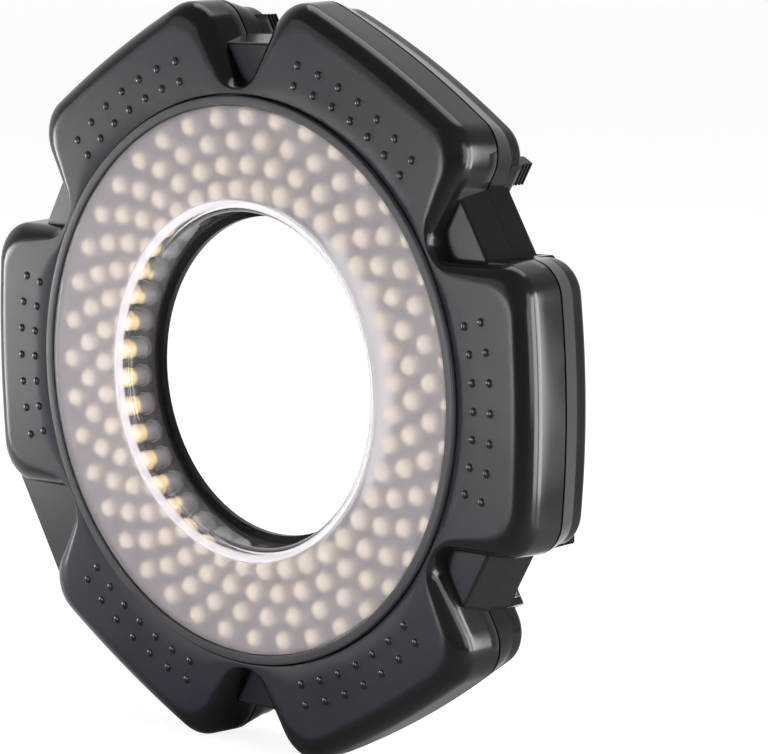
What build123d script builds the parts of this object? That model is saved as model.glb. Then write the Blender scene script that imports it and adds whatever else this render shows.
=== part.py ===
from build123d import *
from math import cos, radians, sin, sqrt, tan
import os

# Macro LED ring light: a six-lobed housing round a clear centre opening, one battery in each lobe.
# Millimetres. The ring's axis is Y: the front faces -Y, +Z is up and +X is to the right seen from the
# front. The origin is on the axis, in the plane of the rear face, at the mouth of the adapter socket.
# A depth is measured from the flat front face of the lobes towards the rear.
# A lobe's own measures are x, out along its centre line, and t, across it, anticlockwise positive.

# The housing's outline at the front face, at the foot of the roll-over, at the joint and at the rear
lobes = 6
pitch_angle = 360 / lobes
width_station = 73.0
crown = 2.2  # bow of a lobe's outer edge
face_flat = 80.0
face_half = 26.9
face_flare = 9.0
face_corner = 8.1
face_notch = 66.4
roll_radius = 4.5
roll_half = 31.2
wall_corner = 8.6
wall_notch = 67.6
parting_flat = 85.9
parting_half = 32.2
rear_flat = 84.2
rear_half = 31.9

# Depths of the planes across the housing
notch_floor = 4.8
parting = 12.0
lobe_rear = 17.9
rear_face = 18.9
door_rear = 22.5
wall = 2.0
seam = 0.45  # height and set-back of the shadow line between the shells
seam_step = 0.5

# Notch webs: the straight walls between the lobes
web_inner = 60.0
web_front = 76.5
web_parting = 78.3
web_rear = 78.7
web_edge = 0.9
web_half = 13.5

# Grip pips on the lobes' faces
pip_rows = (70.2, 75.0)
pip_columns = 7
pip_step = 5.01
pip_radius = 0.85
pip_height = 0.45
pip_taper = 25.0
pip_sides = 6

# Bezel and diffuser
bezel_inner = 63.0
bezel_outer = 65.2
bezel_gap = 0.4
bezel_proud = 0.9
bezel_lip = 0.9
bezel_seat = 2.4
bezel_skirt = 0.8
bezel_edge = 0.4
diffuser_proud = 0.4
diffuser_thickness = 1.8
diffuser_outer = 64.3
diffuser_skirt = 62.0
diffuser_tube = 38.7
diffuser_tube_wall = 1.5
diffuser_rounding = 3.6
lamp_chamber = 63.2

# Lamp board and lamps
board_front = 11.0
board_thickness = 1.6
board_inner = 40.6
board_outer = 64.6
board_gap = 0.1
lamp_rows = (44.0, 49.45, 54.9, 60.35)
lamps_per_row = 40
lamp_radius = 2.5
lamp_length = 8.6
lamp_dome = 2.0
lamp_taper = 32.0
lamp_sides = 6

# Centre opening and adapter socket
opening = 37.1
lip_front = 11.2
lip_rear = 12.6
lip_outer = 40.4
flare_outer = 39.0
seat_depth = 14.2
socket_radius = 46.2
socket_wall = 2.3
detent_outer = 47.2
detent_front = 15.4
detent_rear = 17.4
detent_count = 3
detent_sweep = 12.0

# Battery bays, one in each lobe, for size AA cells
cell_radius = 7.25
cell_body = 49.2
cell_button_radius = 2.75
cell_button = 1.3
cell_gap = 0.4
cell_x = 74.6
cell_depth = 11.7
bay_front = 4.0
bay_end = 26.2
bay_corner = 3.0
contact_thickness = 0.4
contact_width = 9.0
contact_height = 12.0
leaf_fold = 0.9
leaf_tip = 3.8

# Battery doors, hinged at one end of the lobe and latched at the other
door_gap = 0.3
door_inner = 65.4
door_flat = 83.9
door_half = 31.7
door_corner = 8.4
door_inner_corner = 1.2
door_rounding = 1.9
door_pocket = 20.0
hinge_t = 30.3
hinge_depth = 23.9
knuckle_radius = 1.5
pin_radius = 0.7
pin_clearance = 0.05
ear_width = 1.7
ear_inner = 65.8
knuckle_width = 2.6
ear_gap = 0.2
tongue_root = 25.0
tab_x = 74.6
tab_width = 5.4
tab_rise = 3.0
tab_thickness = 3.2
tab_grooves = 3
tab_groove = 0.5
hook_width = 5.0
hook_t = 28.9
hook_thickness = 1.2
hook_reach = 3.2
hook_barb = 0.3
hook_play = 0.7

# Driver board, behind the lamp board
driver_inner = 49.4
driver_outer = 61.2
driver_front = 13.6
driver_thickness = 1.2
driver_half_sweep = 64.0
driver_screw_radius = 0.8
driver_screw_head = 1.6
driver_screw_head_height = 0.8
driver_screw_reach = 2.4
driver_screw_circle = 58.4
driver_screw_angles = (-60.0, -8.0, 8.0, 60.0)
driver_post = 2.2
chip_size = (5.0, 4.0, 1.2)
chip_angles = (-14.0, 0.0, 14.0)
coil_radius = 3.0
coil_height = 1.7
coil_angle = 48.0
capacitor_size = (3.4, 2.6, 1.6)
capacitor_angles = (-50.0, -44.0)
header_size = (2.4, 7.6)
header_angle = 0.0
header_circle = 50.8

# Controls on the rear face
control_circle = 56.0
dimmer_angle = -30.0
switch_angle = 30.0
pot_radius = 4.8
knob_radius = 6.5
knob_height = 5.0
knob_gap = 0.4
knob_edge = 0.6
knob_flutes = 16
flute_radius = 0.5
pointer_width = 0.8
shaft_radius = 2.0
shaft_clearance = 0.05
shaft_start = 15.3
shaft_into_knob = 3.4
switch_length = 12.0
switch_width = 5.2
switch_travel = 3.0
nub_length = 3.6
nub_width = 2.4
nub_height = 1.6
nub_start = 15.6
slot_clearance = 0.3

# Housing screws, one in each notch web
screw_circle = 71.0
screw_radius = 1.25
screw_head = 2.3
screw_head_height = 1.5
screw_reach = 11.5
screw_clearance = 0.1
recess_depth = 0.8
recess_width = 0.6


def y_at(depth):
    """Global Y of a depth behind the lobes' front face."""
    return depth - rear_face


def across(depth):
    """Plane across the ring's axis at a depth, seen from the front: sketch x is X, sketch y is Z."""
    return Plane.XZ.offset(rear_face - depth)


def end_on(x):
    """Plane across the first lobe at a distance x out: sketch x is t, sketch y is Y."""
    return Plane(origin=(x, 0, 0), x_dir=(0, 0, 1), z_dir=(-1, 0, 0))


def turned(piece, angle):
    """Copy of a piece turned about the ring's axis, anticlockwise seen from the front."""
    return piece.rotate(Axis.Y, -angle)


def on_circle(radius, angle):
    """Front-view point at a radius and an angle in degrees."""
    return (radius * cos(radians(angle)), radius * sin(radians(angle)))


def in_lobe(x, t, index):
    """Front-view point of lobe measures x and t."""
    turn = radians(pitch_angle * index)
    return (x * cos(turn) - t * sin(turn), x * sin(turn) + t * cos(turn))


def lobed_outline(depth, flat, half_width, flare, corner, notch):
    """Six lobes with bowed ends and rounded corners, and six rounded notches between them."""
    spread = tan(radians(flare))
    half_pitch = radians(pitch_angle / 2)
    tip_t = half_width - (flat - crown - width_station) * spread
    root_x = (half_width + width_station * spread) / (tan(half_pitch) + spread)
    root_radius = root_x / cos(half_pitch)
    notch_radius = (notch - root_radius) / (1 / sin(half_pitch + radians(flare)) - 1)
    with BuildSketch(across(depth)) as outline:
        with BuildLine():
            for index in range(lobes):
                tip = in_lobe(flat - crown, tip_t, index)
                root = in_lobe(root_x, root_x * tan(half_pitch), index)
                next_tip = in_lobe(flat - crown, -tip_t, index + 1)
                ThreePointArc(in_lobe(flat - crown, -tip_t, index), in_lobe(flat, 0, index), tip)
                Line(tip, root)
                Line(root, next_tip)
        make_face()
        reach = (root_radius + flat) / 2
        fillet([v for v in outline.vertices() if sqrt(v.X**2 + v.Y**2) > reach], corner)
        roots = [v for v in outline.vertices() if abs(sqrt(v.X**2 + v.Y**2) - root_radius) < 0.01]
        fillet(roots, notch_radius)
    return outline.sketch


def rolled_outline(step):
    """The outline part of the way round the roll-over from face to wall, at an angle of its arc."""
    share = sin(radians(step))
    return lobed_outline(
        roll_radius * (1 - cos(radians(step))),
        face_flat + roll_radius * share,
        face_half + (roll_half - face_half) * share,
        face_flare * (1 - share),
        face_corner + (wall_corner - face_corner) * share,
        face_notch + (wall_notch - face_notch) * share,
    )


def ring_profile(points):
    """Closed profile of (radius, depth) points, to be turned about the axis."""
    with BuildSketch(Plane.XY) as profile:
        with BuildLine():
            Polyline(*[(radius, y_at(depth)) for radius, depth in points], close=True)
        make_face()
    return profile.sketch


def disc(radius, front, rear):
    """Profile of a plain disc between two depths."""
    return ring_profile([(0, front), (radius, front), (radius, rear), (0, rear)])


def web_block(front, rear, x_front, x_rear, edge):
    """Straight wall between two lobes, on the first lobe's centre line, its front edge rounded."""
    with BuildPart() as block:
        with BuildSketch(Plane.XY) as profile:
            with BuildLine():
                Polyline(
                    (web_inner, y_at(front)),
                    (x_front, y_at(front)),
                    (x_rear, y_at(rear)),
                    (web_inner, y_at(rear)),
                    close=True,
                )
            make_face()
            if edge:
                fillet([v for v in profile.vertices() if v.X > web_inner and v.Y < y_at(rear) - 1], edge)
        extrude(amount=web_half, both=True)
    return block.part


def bay_block(front, rear):
    """Room for one cell in the first lobe, between two depths."""
    with BuildPart() as block:
        with BuildSketch(across(front)):
            with Locations((cell_x, 0)):
                RectangleRounded(2 * (cell_radius + cell_gap), 2 * bay_end, bay_corner)
        extrude(amount=front - rear)
    return block.part


def write(piece, name):
    """Label a finished piece and write it."""
    piece.label = name
    export_step(piece, f"parts/{name}.step")


os.makedirs("parts", exist_ok=True)
lobe_angles = [pitch_angle * index for index in range(lobes)]
notch_angles = [pitch_angle * (index + 0.5) for index in range(lobes)]
bezel_bore = bezel_outer + bezel_gap
board_rear = board_front + board_thickness
board_pocket = board_outer + board_gap
driver_rear = driver_front + driver_thickness
rear_inside = rear_face - wall

# Front shell: rolled lobes, notches with flat floors, grip pips, bezel seat and battery bays
roll_sections = [rolled_outline(step) for step in (0, 25, 50, 70, 90)]
parting_section = lobed_outline(parting, parting_flat, parting_half, 0, wall_corner, wall_notch)
front_web = web_block(notch_floor, parting, web_front, web_parting, web_edge)
front_bay = bay_block(bay_front, parting)
with BuildPart() as front_shell:
    loft(roll_sections)
    loft([roll_sections[-1], parting_section])
    for angle in notch_angles:
        add(turned(front_web, angle))
    revolve(disc(lamp_chamber, -1, board_front), axis=Axis.Y, mode=Mode.SUBTRACT)
    revolve(disc(board_pocket, board_front, parting), axis=Axis.Y, mode=Mode.SUBTRACT)
    revolve(disc(bezel_bore, -1, bezel_seat), axis=Axis.Y, mode=Mode.SUBTRACT)
    for angle in lobe_angles:
        add(turned(front_bay, angle), mode=Mode.SUBTRACT)
    with BuildSketch(across(parting)):
        with PolarLocations(screw_circle, lobes, start_angle=pitch_angle / 2):
            Circle(screw_radius)
    extrude(amount=parting - rear_face + screw_head_height + screw_reach, mode=Mode.SUBTRACT)
    with BuildSketch(across(0)):
        for radius in pip_rows:
            for index in range(lobes):
                for column in range(pip_columns):
                    sweep = (column - (pip_columns - 1) / 2) * pip_step
                    with Locations(on_circle(radius, pitch_angle * index + sweep)):
                        RegularPolygon(pip_radius, pip_sides)
    extrude(amount=pip_height, taper=pip_taper)
write(front_shell.part, "front_shell")

# Bezel ring: the raised frame round the diffuser, its skirt standing on the front shell's seat
with BuildPart() as bezel_ring:
    with BuildSketch(Plane.XY) as bezel_section:
        with BuildLine():
            Polyline(
                (bezel_inner, y_at(-bezel_proud)),
                (bezel_outer, y_at(-bezel_proud)),
                (bezel_outer, y_at(bezel_seat)),
                (bezel_outer - bezel_skirt, y_at(bezel_seat)),
                (bezel_outer - bezel_skirt, y_at(bezel_lip - bezel_proud)),
                (bezel_inner, y_at(bezel_lip - bezel_proud)),
                close=True,
            )
        make_face()
        front_corners = bezel_section.vertices().group_by(Axis.Y)[0]
        chamfer(front_corners, bezel_edge)
    revolve(axis=Axis.Y)
write(bezel_ring.part, "bezel_ring")

# Diffuser: frosted front plate, rolled into the clear tube that lines the opening
plate_front = -diffuser_proud
plate_rear = diffuser_thickness - diffuser_proud
plate_shoulder = bezel_lip - bezel_proud + board_gap
tube_outer = diffuser_tube + diffuser_tube_wall
with BuildPart() as diffuser:
    with BuildSketch(Plane.XY):
        with BuildLine():
            Polyline(
                (diffuser_tube, y_at(plate_front + diffuser_rounding)),
                (diffuser_tube, y_at(lip_front)),
                (tube_outer, y_at(lip_front)),
                (tube_outer, y_at(plate_front + diffuser_rounding)),
            )
            RadiusArc(
                (tube_outer, y_at(plate_front + diffuser_rounding)),
                (diffuser_tube + diffuser_rounding, y_at(plate_rear)),
                diffuser_rounding - diffuser_thickness,
            )
            Polyline(
                (diffuser_tube + diffuser_rounding, y_at(plate_rear)),
                (diffuser_skirt, y_at(plate_rear)),
                (diffuser_skirt, y_at(bezel_seat)),
                (diffuser_outer, y_at(bezel_seat)),
                (diffuser_outer, y_at(plate_shoulder)),
                (bezel_inner - board_gap, y_at(plate_shoulder)),
                (bezel_inner - board_gap, y_at(plate_front)),
                (diffuser_tube + diffuser_rounding, y_at(plate_front)),
            )
            RadiusArc(
                (diffuser_tube + diffuser_rounding, y_at(plate_front)),
                (diffuser_tube, y_at(plate_front + diffuser_rounding)),
                -diffuser_rounding,
            )
        make_face()
    revolve(axis=Axis.Y)
write(diffuser.part, "diffuser")

# Lamp board: a flat annulus, clamped by its rim between the two shells
board_profile = ring_profile(
    [
        (board_inner, board_front),
        (board_outer, board_front),
        (board_outer, board_rear),
        (board_inner, board_rear),
    ]
)
with BuildPart() as led_board:
    revolve(board_profile, axis=Axis.Y)
write(led_board.part, "led_board")

# Lamps: four circles of forty round-topped lamps, standing on the lamp board
with BuildPart() as lamp:
    with BuildSketch(Plane.XY):
        RegularPolygon(lamp_radius, lamp_sides)
    extrude(amount=lamp_length - lamp_dome)
    with BuildSketch(Plane.XY.offset(lamp_length - lamp_dome)):
        RegularPolygon(lamp_radius, lamp_sides)
    extrude(amount=lamp_dome, taper=lamp_taper)
half_step = 180 / lamps_per_row
with BuildPart(across(board_front)) as leds:
    for row, radius in enumerate(lamp_rows):
        with PolarLocations(radius, lamps_per_row, start_angle=half_step * ((row + 1) % 2)):
            add(lamp.part)
write(leds.part, "leds")

# Rear shell: band, notch walls and rear face in one, with the central lip, the adapter socket and its
# detents, the battery bays, the hinge ears, the latch slots and the posts of the driver board
seam_section = lobed_outline(
    parting, parting_flat - seam_step, parting_half - seam_step, 0, wall_corner, wall_notch - seam_step
)
band_front = lobed_outline(parting + seam, parting_flat, parting_half, 0, wall_corner, wall_notch)
band_rear = lobed_outline(lobe_rear, rear_flat, rear_half, 0, wall_corner, wall_notch)
rear_web = web_block(parting + seam, rear_face, web_parting, web_rear, 0)
seam_web = web_block(parting, parting + seam, web_parting - seam_step, web_parting - seam_step, 0)
rear_bay = bay_block(parting, lobe_rear)
with BuildPart() as door_room:
    with BuildSketch(across(lobe_rear)):
        with Locations((door_inner - door_gap, 0)):
            Rectangle(web_rear, 2 * (rear_half + door_gap), align=(Align.MIN, Align.CENTER))
    extrude(amount=lobe_rear - rear_face - 1)
centre_profile = ring_profile(
    [
        (opening, lip_front),
        (lip_outer, lip_front),
        (lip_outer, lip_rear),
        (socket_radius + socket_wall, lip_rear),
        (socket_radius + socket_wall, rear_inside),
        (socket_radius + socket_wall, rear_face),
        (socket_radius, rear_face),
        (socket_radius, seat_depth),
        (flare_outer, seat_depth),
        (opening, lip_rear),
    ]
)
cavity_profile = ring_profile(
    [
        (socket_radius + socket_wall, parting - 1),
        (driver_outer + 0.3, parting - 1),
        (driver_outer + 0.3, rear_inside),
        (socket_radius + socket_wall, rear_inside),
    ]
)
ear_positions = (ear_inner, ear_inner + ear_width + knuckle_width + 2 * ear_gap)
with BuildPart() as ears:
    for x in ear_positions:
        with BuildSketch(end_on(x)):
            with Locations((hinge_t, y_at(hinge_depth))):
                Circle(knuckle_radius)
            with Locations((hinge_t, y_at((lobe_rear + hinge_depth) / 2))):
                Rectangle(2 * knuckle_radius, hinge_depth - lobe_rear)
        extrude(amount=-ear_width)
    with BuildSketch(end_on(ear_inner)):
        with Locations((hinge_t, y_at(hinge_depth))):
            Circle(pin_radius + pin_clearance)
    extrude(amount=-(ear_positions[1] - ear_inner + ear_width), mode=Mode.SUBTRACT)
slot_thickness = hook_thickness + hook_barb + 2 * hook_play
slot_bottom = lobe_rear - hook_reach - hook_play
with BuildPart() as latch_slot:
    with BuildSketch(across(slot_bottom)):
        with Locations((tab_x, -(hook_t + hook_thickness / 2))):
            Rectangle(hook_width + 2 * door_gap, slot_thickness)
    extrude(amount=slot_bottom - lobe_rear)
detent_profile = ring_profile(
    [
        (socket_radius - 1, detent_front),
        (detent_outer, detent_front),
        (detent_outer, detent_rear),
        (socket_radius - 1, detent_rear),
    ]
)
switch_place = Location((*on_circle(control_circle, switch_angle), 0), (0, 0, switch_angle + 90))
channel_length = nub_length + switch_travel + 2 * slot_clearance
with BuildPart() as rear_shell:
    loft([seam_section, seam_section.moved(Location((0, seam, 0)))], ruled=True)
    loft([band_front, band_rear], ruled=True)
    with BuildSketch(across(lobe_rear)):
        Circle(screw_circle)
    extrude(amount=lobe_rear - rear_face)
    for angle in notch_angles:
        add(turned(rear_web, angle))
        add(turned(seam_web, angle))
    revolve(disc(socket_radius, parting - 1, rear_face + 1), axis=Axis.Y, mode=Mode.SUBTRACT)
    revolve(disc(board_pocket, parting - 1, board_rear), axis=Axis.Y, mode=Mode.SUBTRACT)
    revolve(cavity_profile, axis=Axis.Y, mode=Mode.SUBTRACT)
    revolve(centre_profile, axis=Axis.Y)
    for angle in lobe_angles:
        add(turned(rear_bay, angle), mode=Mode.SUBTRACT)
        add(turned(door_room.part, angle), mode=Mode.SUBTRACT)
        add(turned(latch_slot.part, angle), mode=Mode.SUBTRACT)
    for angle in lobe_angles:
        add(turned(ears.part, angle))
    for angle in driver_screw_angles:
        with BuildSketch(across(driver_rear)):
            with Locations(on_circle(driver_screw_circle, angle)):
                Circle(driver_post)
        extrude(amount=driver_rear - rear_inside)
        with BuildSketch(across(driver_rear)):
            with Locations(on_circle(driver_screw_circle, angle)):
                Circle(driver_screw_radius)
        extrude(amount=driver_thickness - driver_screw_reach, mode=Mode.SUBTRACT)
    with BuildSketch(across(rear_face)):
        with Locations(on_circle(control_circle, dimmer_angle)):
            Circle(shaft_radius + shaft_clearance)
        with Locations(switch_place):
            Rectangle(channel_length, nub_width + 2 * slot_clearance)
    extrude(amount=wall, mode=Mode.SUBTRACT)
    with BuildSketch(across(rear_face)):
        with PolarLocations(screw_circle, lobes, start_angle=pitch_angle / 2):
            Circle(screw_radius + screw_clearance)
    extrude(amount=rear_face - parting, mode=Mode.SUBTRACT)
    with BuildSketch(across(rear_face)):
        with PolarLocations(screw_circle, lobes, start_angle=pitch_angle / 2):
            Circle(screw_head + screw_clearance)
    extrude(amount=screw_head_height, mode=Mode.SUBTRACT)
    for index in range(detent_count):
        revolve(
            turned(detent_profile, 90 + index * 360 / detent_count + detent_sweep / 2),
            axis=Axis.Y,
            revolution_arc=detent_sweep,
            mode=Mode.SUBTRACT,
        )
write(rear_shell.part, "rear_shell")

# Battery doors: a hollow cover for each lobe, with a hinge knuckle at one end and, at the other, a
# ribbed thumb tab and a barbed hook that reaches into the rear shell
knuckle_x = ear_inner + ear_width + ear_gap
door_front = lobe_rear + door_gap
tab_outer = hinge_t + knuckle_radius - 0.3
tab_depth = door_rear + tab_rise
with BuildPart() as door:
    with BuildSketch(across(door_front)) as door_outline:
        with BuildLine():
            ThreePointArc((door_flat - crown, -door_half), (door_flat, 0), (door_flat - crown, door_half))
            Polyline(
                (door_flat - crown, door_half),
                (door_inner, door_half),
                (door_inner, -door_half),
                (door_flat - crown, -door_half),
            )
        make_face()
        fillet(door_outline.vertices().group_by(Axis.X)[-1], door_corner)
        fillet(door_outline.vertices().group_by(Axis.X)[0], door_inner_corner)
    extrude(amount=door_front - door_rear)
    fillet(door.faces().sort_by(Axis.Y)[-1].edges(), door_rounding)
    add(bay_block(door_front, door_pocket), mode=Mode.SUBTRACT)
    hinge_span = ear_positions[1] + ear_width + ear_gap - door_inner
    with BuildSketch(end_on(door_inner)):
        with Locations((hinge_t, y_at(door_front))):
            Rectangle(2 * (knuckle_radius + 0.4), 2 * (door_rear - door_front), align=(Align.CENTER, Align.CENTER))
    extrude(amount=-hinge_span, mode=Mode.SUBTRACT)
    with BuildSketch(end_on(knuckle_x)):
        with BuildLine():
            Polyline(
                (hinge_t, y_at(hinge_depth + knuckle_radius)),
                (hinge_t - knuckle_radius, y_at(hinge_depth + knuckle_radius)),
                (tongue_root, y_at(door_rear)),
                (tongue_root, y_at(door_pocket)),
                (hinge_t - knuckle_radius - 0.4, y_at(door_pocket)),
                (hinge_t, y_at(hinge_depth - knuckle_radius)),
            )
            ThreePointArc(
                (hinge_t, y_at(hinge_depth - knuckle_radius)),
                (hinge_t + knuckle_radius, y_at(hinge_depth)),
                (hinge_t, y_at(hinge_depth + knuckle_radius)),
            )
        make_face()
    extrude(amount=-knuckle_width)
    with BuildSketch(end_on(knuckle_x)):
        with Locations((hinge_t, y_at(hinge_depth))):
            Circle(pin_radius + pin_clearance)
    extrude(amount=-knuckle_width, mode=Mode.SUBTRACT)
    with BuildSketch(end_on(tab_x - tab_width / 2)) as tab_section:
        with Locations((-tab_outer, y_at(tab_depth))):
            Rectangle(tab_thickness, tab_depth - door_front, align=(Align.MIN, Align.MAX))
        fillet(tab_section.vertices().group_by(Axis.Y)[-1], 0.6)
        for groove in range(tab_grooves):
            groove_depth = tab_depth - (groove + 1) * 1.1
            with Locations((-tab_outer, y_at(groove_depth))):
                Rectangle(tab_groove, tab_groove, align=(Align.MIN, Align.CENTER), mode=Mode.SUBTRACT)
    extrude(amount=-tab_width)
    with BuildSketch(end_on(tab_x - hook_width / 2)):
        with BuildLine():
            Polyline(
                (-hook_t, y_at(door_front + 1)),
                (-hook_t, y_at(lobe_rear + hook_reach)),
                (-hook_t, y_at(lobe_rear - hook_reach)),
                (-hook_t - hook_thickness, y_at(lobe_rear - hook_reach)),
                (-hook_t - hook_thickness - hook_barb, y_at(lobe_rear - hook_reach + 1)),
                (-hook_t - hook_thickness, y_at(lobe_rear - hook_reach + 1.6)),
                (-hook_t - hook_thickness, y_at(door_front + 1)),
                close=True,
            )
        make_face()
    extrude(amount=-hook_width)
for index, angle in enumerate(lobe_angles):
    write(turned(door.part, angle), f"battery_door_{index + 1}")

# Hinge pins, one through each lobe's ears and knuckle
pin_length = ear_positions[1] + ear_width - ear_inner
with BuildPart() as hinge_pin:
    with BuildSketch(end_on(ear_inner)):
        with Locations((hinge_t, y_at(hinge_depth))):
            Circle(pin_radius)
    extrude(amount=-pin_length)
with BuildPart() as door_hinge_pins:
    for angle in lobe_angles:
        add(turned(hinge_pin.part, angle))
write(door_hinge_pins.part, "door_hinge_pins")

# Cells: size AA, one in each lobe, the positive button towards t and against its contact
cell_length = cell_body + cell_button
cell_end = bay_end - contact_thickness
with BuildPart() as cell:
    with BuildSketch(Plane.XY.offset(cell_end - cell_length)):
        with Locations((cell_x, y_at(cell_depth))):
            Circle(cell_radius)
    extrude(amount=cell_body)
    chamfer(cell.edges().filter_by(GeomType.CIRCLE), 0.6)
    with BuildSketch(Plane.XY.offset(cell_end - cell_button)):
        with Locations((cell_x, y_at(cell_depth))):
            Circle(cell_button_radius)
    extrude(amount=cell_button)
with BuildPart() as aa_cells:
    for angle in lobe_angles:
        add(turned(cell.part, angle))
write(aa_cells.part, "aa_cells")

# Contacts: a flat plate at each cell's positive end, and a folded leaf spring at the other
with BuildPart() as plate_contact:
    with BuildSketch(Plane.XY.offset(cell_end)):
        with Locations((cell_x, y_at(cell_depth))):
            Rectangle(contact_width, contact_height)
    extrude(amount=contact_thickness)
with BuildPart() as plate_contacts:
    for angle in lobe_angles:
        add(turned(plate_contact.part, angle))
write(plate_contacts.part, "plate_contacts")

leaf_front = y_at(cell_depth - contact_height / 2)
leaf_rear = y_at(cell_depth + contact_height / 2)
leaf_touch = cell_end - cell_length
with BuildPart() as leaf_contact:
    with BuildSketch(end_on(cell_x - contact_width / 2)):
        with BuildLine():
            Polyline(
                (-bay_end, leaf_front),
                (-bay_end, leaf_rear),
                (-bay_end + leaf_fold, leaf_rear),
                (leaf_touch, y_at(cell_depth)),
                (-bay_end + leaf_fold, leaf_front + leaf_tip),
                (-bay_end + leaf_fold - contact_thickness, leaf_front + leaf_tip),
                (leaf_touch - contact_thickness, y_at(cell_depth)),
                (-bay_end + leaf_fold - contact_thickness, leaf_rear - contact_thickness),
                (-bay_end + contact_thickness, leaf_rear - contact_thickness),
                (-bay_end + contact_thickness, leaf_front),
                close=True,
            )
        make_face()
    extrude(amount=-contact_width)
with BuildPart() as leaf_contacts:
    for angle in lobe_angles:
        add(turned(leaf_contact.part, angle))
write(leaf_contacts.part, "leaf_contacts")

# Driver board: a sector of an annulus on four posts of the rear shell
with BuildPart() as driver_board:
    with BuildSketch(across(driver_rear)):
        with BuildLine():
            sweep_start = -driver_half_sweep
            sweep_end = driver_half_sweep
            CenterArc((0, 0), driver_outer, sweep_start, 2 * driver_half_sweep)
            Line(on_circle(driver_outer, sweep_end), on_circle(driver_inner, sweep_end))
            CenterArc((0, 0), driver_inner, sweep_start, 2 * driver_half_sweep)
            Line(on_circle(driver_inner, sweep_start), on_circle(driver_outer, sweep_start))
        make_face()
        for angle in driver_screw_angles:
            with Locations(on_circle(driver_screw_circle, angle)):
                Circle(driver_screw_radius + screw_clearance, mode=Mode.SUBTRACT)
    extrude(amount=driver_thickness)
write(driver_board.part, "driver_board")

with BuildPart() as driver_screws:
    for angle in driver_screw_angles:
        with BuildSketch(across(driver_front)):
            with Locations(on_circle(driver_screw_circle, angle)):
                Circle(driver_screw_head)
        extrude(amount=driver_screw_head_height)
        with BuildSketch(across(driver_front)):
            with Locations(on_circle(driver_screw_circle, angle)):
                Circle(driver_screw_radius)
        extrude(amount=-driver_screw_reach)
write(driver_screws.part, "driver_screws")


def on_board(width, height, depth, angles, circle):
    """Rectangular components on the driver board's rear, each turned to its place on a circle."""
    with BuildPart() as components:
        with BuildSketch(across(driver_rear)):
            for angle in angles:
                with Locations(Location((*on_circle(circle, angle), 0), (0, 0, angle))):
                    Rectangle(width, height)
        extrude(amount=-depth)
    return components.part


write(on_board(*chip_size, chip_angles, control_circle), "driver_chips")
write(on_board(*capacitor_size, capacitor_angles, control_circle), "driver_capacitors")
with BuildPart() as driver_coil:
    with BuildSketch(across(driver_rear)):
        with Locations(on_circle(control_circle, coil_angle)):
            Circle(coil_radius)
    extrude(amount=-coil_height)
write(driver_coil.part, "driver_coil")

# Header joining the driver board to the lamp board
with BuildPart() as board_header:
    with BuildSketch(across(driver_front)):
        with Locations((header_circle, 0)):
            Rectangle(*header_size)
    extrude(amount=driver_front - board_rear)
write(board_header.part, "board_header")

# Dimmer: potentiometer on the driver board, its shaft through the rear face, and a fluted knob
with BuildPart() as dimmer_potentiometer:
    with BuildSketch(across(driver_rear)):
        with Locations(on_circle(control_circle, dimmer_angle)):
            Circle(pot_radius)
    extrude(amount=driver_rear - rear_inside)
    with BuildSketch(across(shaft_start)):
        with Locations(on_circle(control_circle, dimmer_angle)):
            Circle(shaft_radius + shaft_clearance)
    extrude(amount=shaft_start - rear_inside, mode=Mode.SUBTRACT)
write(dimmer_potentiometer.part, "dimmer_potentiometer")

shaft_end = rear_face + knob_gap + shaft_into_knob
with BuildPart() as dimmer_shaft:
    with BuildSketch(across(shaft_start)):
        with Locations(on_circle(control_circle, dimmer_angle)):
            Circle(shaft_radius)
    extrude(amount=shaft_start - shaft_end)
write(dimmer_shaft.part, "dimmer_shaft")

knob_front = rear_face + knob_gap
knob_rear = knob_front + knob_height
knob_place = Location((*on_circle(control_circle, dimmer_angle), 0), (0, 0, dimmer_angle))
with BuildPart() as dimmer_knob:
    with BuildSketch(across(knob_front)):
        with Locations(knob_place):
            Circle(knob_radius)
    extrude(amount=-knob_height)
    chamfer(dimmer_knob.edges().group_by(Axis.Y)[-1], knob_edge)
    with BuildSketch(across(knob_rear)):
        with Locations(knob_place):
            with PolarLocations(knob_radius, knob_flutes):
                Circle(flute_radius)
            with Locations((-knob_radius / 2, 0)):
                Rectangle(knob_radius / 2, pointer_width)
    extrude(amount=pointer_width, mode=Mode.SUBTRACT)
    with BuildSketch(across(knob_rear)):
        with Locations(knob_place):
            with PolarLocations(knob_radius, knob_flutes):
                Circle(flute_radius)
    extrude(amount=knob_height, mode=Mode.SUBTRACT)
    with BuildSketch(across(knob_front)):
        with Locations(knob_place):
            Circle(shaft_radius)
    extrude(amount=-shaft_into_knob, mode=Mode.SUBTRACT)
write(dimmer_knob.part, "dimmer_knob")

# Power switch: body on the driver board, and a slider whose nub stands through the rear face
with BuildPart() as switch_body:
    with BuildSketch(across(driver_rear)):
        with Locations(switch_place):
            Rectangle(switch_length, switch_width)
    extrude(amount=driver_rear - rear_inside)
    with BuildSketch(across(nub_start)):
        with Locations(switch_place):
            Rectangle(channel_length, nub_width + 2 * slot_clearance)
    extrude(amount=nub_start - rear_inside, mode=Mode.SUBTRACT)
write(switch_body.part, "switch_body")

with BuildPart() as switch_slider:
    with BuildSketch(across(nub_start)):
        with Locations(switch_place):
            with Locations((-switch_travel / 2, 0)):
                Rectangle(nub_length, nub_width)
    extrude(amount=nub_start - rear_face - nub_height)
    chamfer(switch_slider.faces().sort_by(Axis.Y)[-1].edges(), 0.3)
write(switch_slider.part, "switch_slider")

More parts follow.
